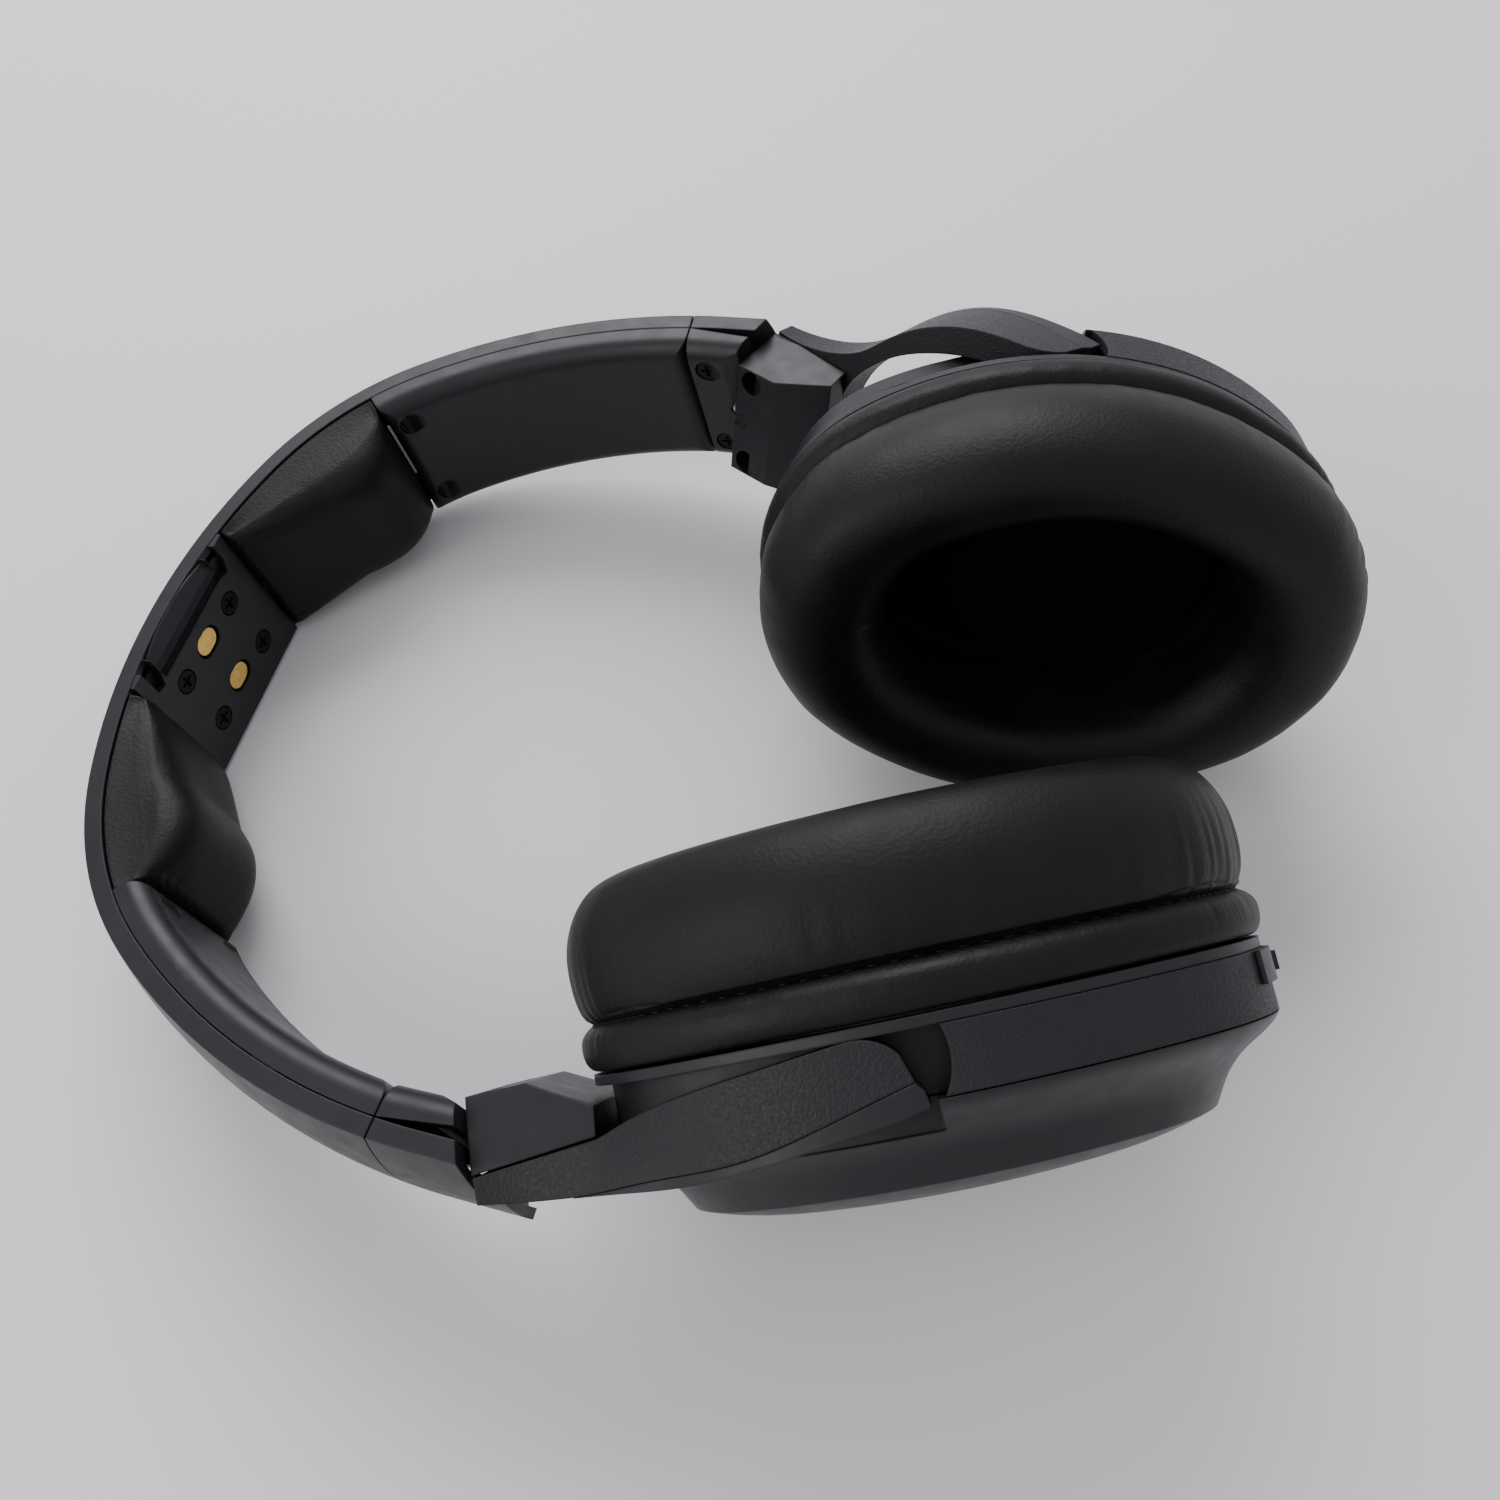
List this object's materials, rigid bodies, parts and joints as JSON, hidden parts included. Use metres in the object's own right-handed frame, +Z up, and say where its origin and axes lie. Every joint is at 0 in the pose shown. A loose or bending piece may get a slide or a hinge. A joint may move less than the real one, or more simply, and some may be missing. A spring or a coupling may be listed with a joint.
{
  "type": "headphones",
  "caption": "Over ear headphones: wide padded headband with a charging contact plate, sliding ends, forked swivelling yokes and tilting oval cups with soft ear cushions",
  "frame": {"origin": "centre of the bounding box on the surface that the headphones lie on", "axes": "X from the right cup to the left cup, Y from the cups to the crown of the headband, Z up from the surface"},
  "size_m": [0.1646, 0.2032, 0.0807],
  "materials": {
    "satin_plastic": "smooth satin charcoal",
    "grained_plastic": "moulded grain, charcoal",
    "leatherette": "soft fine-grained black",
    "mesh_cloth": "thin woven mesh",
    "black_screw": "black oxide",
    "gold_contact": "polished gold plating",
    "spring_steel": "brushed",
    "steel_pin": "turned",
    "magnet": "nickel plated",
    "driver_film": "thin clear film over paper",
    "board": "solder mask green",
    "cell_wrap": "shrink film",
    "flat_cable": "polyimide"
  },
  "bodies": {
    "headband": {"headband_outer_cover": "satin_plastic", "contact_plate": "satin_plastic", "charging_contacts": "gold_contact", "plate_screws": "black_screw", "headband_spring": "spring_steel", "headband_cable": "flat_cable", "headband_inner_cover_left": "satin_plastic", "cover_screws_left": "black_screw", "headband_pad_left": "leatherette", "headband_inner_cover_right": "satin_plastic", "cover_screws_right": "black_screw", "headband_pad_right": "leatherette"},
    "slider_left": {"slider_outer_cover_left": "satin_plastic", "slider_inner_cover_left": "satin_plastic", "slider_screws_left": "black_screw", "slider_strip_left": "spring_steel", "swivel_post_left": "steel_pin"},
    "yoke_left": {"yoke_fork_left": "grained_plastic", "yoke_face_left": "satin_plastic", "hanger_cover_left": "satin_plastic", "hanger_screws_left": "black_screw", "pivot_pins_left": "steel_pin"},
    "cup_left": {"ear_cushion_left": "leatherette", "ear_mesh_left": "mesh_cloth", "baffle_left": "satin_plastic", "cup_screws_left": "black_screw", "driver_basket_left": "satin_plastic", "driver_diaphragm_left": "driver_film", "driver_magnet_left": "magnet", "housing_ring_left": "grained_plastic", "housing_core_left": "satin_plastic", "outer_cover_left": "satin_plastic", "battery_left": "cell_wrap"},
    "slider_right": {"slider_outer_cover_right": "satin_plastic", "slider_inner_cover_right": "satin_plastic", "slider_screws_right": "black_screw", "slider_strip_right": "spring_steel", "swivel_post_right": "steel_pin"},
    "yoke_right": {"yoke_fork_right": "grained_plastic", "yoke_face_right": "satin_plastic", "hanger_cover_right": "satin_plastic", "hanger_screws_right": "black_screw", "pivot_pins_right": "steel_pin"},
    "cup_right": {"ear_cushion_right": "leatherette", "ear_mesh_right": "mesh_cloth", "baffle_right": "satin_plastic", "cup_screws_right": "black_screw", "driver_basket_right": "satin_plastic", "driver_diaphragm_right": "driver_film", "driver_magnet_right": "magnet", "housing_ring_right": "grained_plastic", "housing_core_right": "satin_plastic", "outer_cover_right": "satin_plastic", "circuit_board_right": "board", "control_strip_right": "satin_plastic"},
    "power_button": {"power_button_right": "satin_plastic"}
  },
  "joints": [
    {"name": "slide_left", "type": "slide", "parent": "headband", "child": "slider_left", "axis": [0.061, -0.9856, 0.1579], "range_m": [0, 0.02]},
    {"name": "swivel_left", "type": "hinge", "parent": "slider_left", "child": "yoke_left", "pos_m": [0.06739, 0.00167, 0.03034], "axis": [0.4258, 0.8934, -0.1431], "range_deg": [-26.5, 2.5]},
    {"name": "tilt_left", "type": "hinge", "parent": "yoke_left", "child": "cup_left", "pos_m": [0.0461, -0.04301, 0.03749], "axis": [0.3463, -0.0148, 0.938], "range_deg": [-26, 0]},
    {"name": "slide_right", "type": "slide", "parent": "headband", "child": "slider_right", "axis": [-0.061, -0.9856, 0.1579], "range_m": [0, 0.02]},
    {"name": "swivel_right", "type": "hinge", "parent": "slider_right", "child": "yoke_right", "pos_m": [-0.06759, 0.00167, 0.03034], "axis": [-0.4258, 0.8934, -0.1431], "range_deg": [-3.8, 25.2]},
    {"name": "tilt_right", "type": "hinge", "parent": "yoke_right", "child": "cup_right", "pos_m": [-0.0463, -0.04301, 0.03749], "axis": [0.3272, 0.0046, -0.9449], "range_deg": [-0.4, 40.3]},
    {"name": "power_press", "type": "slide", "parent": "cup_right", "child": "power_button", "axis": [-0.4169, 0.8981, -0.14], "range_m": [0, 0.0007], "stiffness_N_per_m": 900}
  ]
}
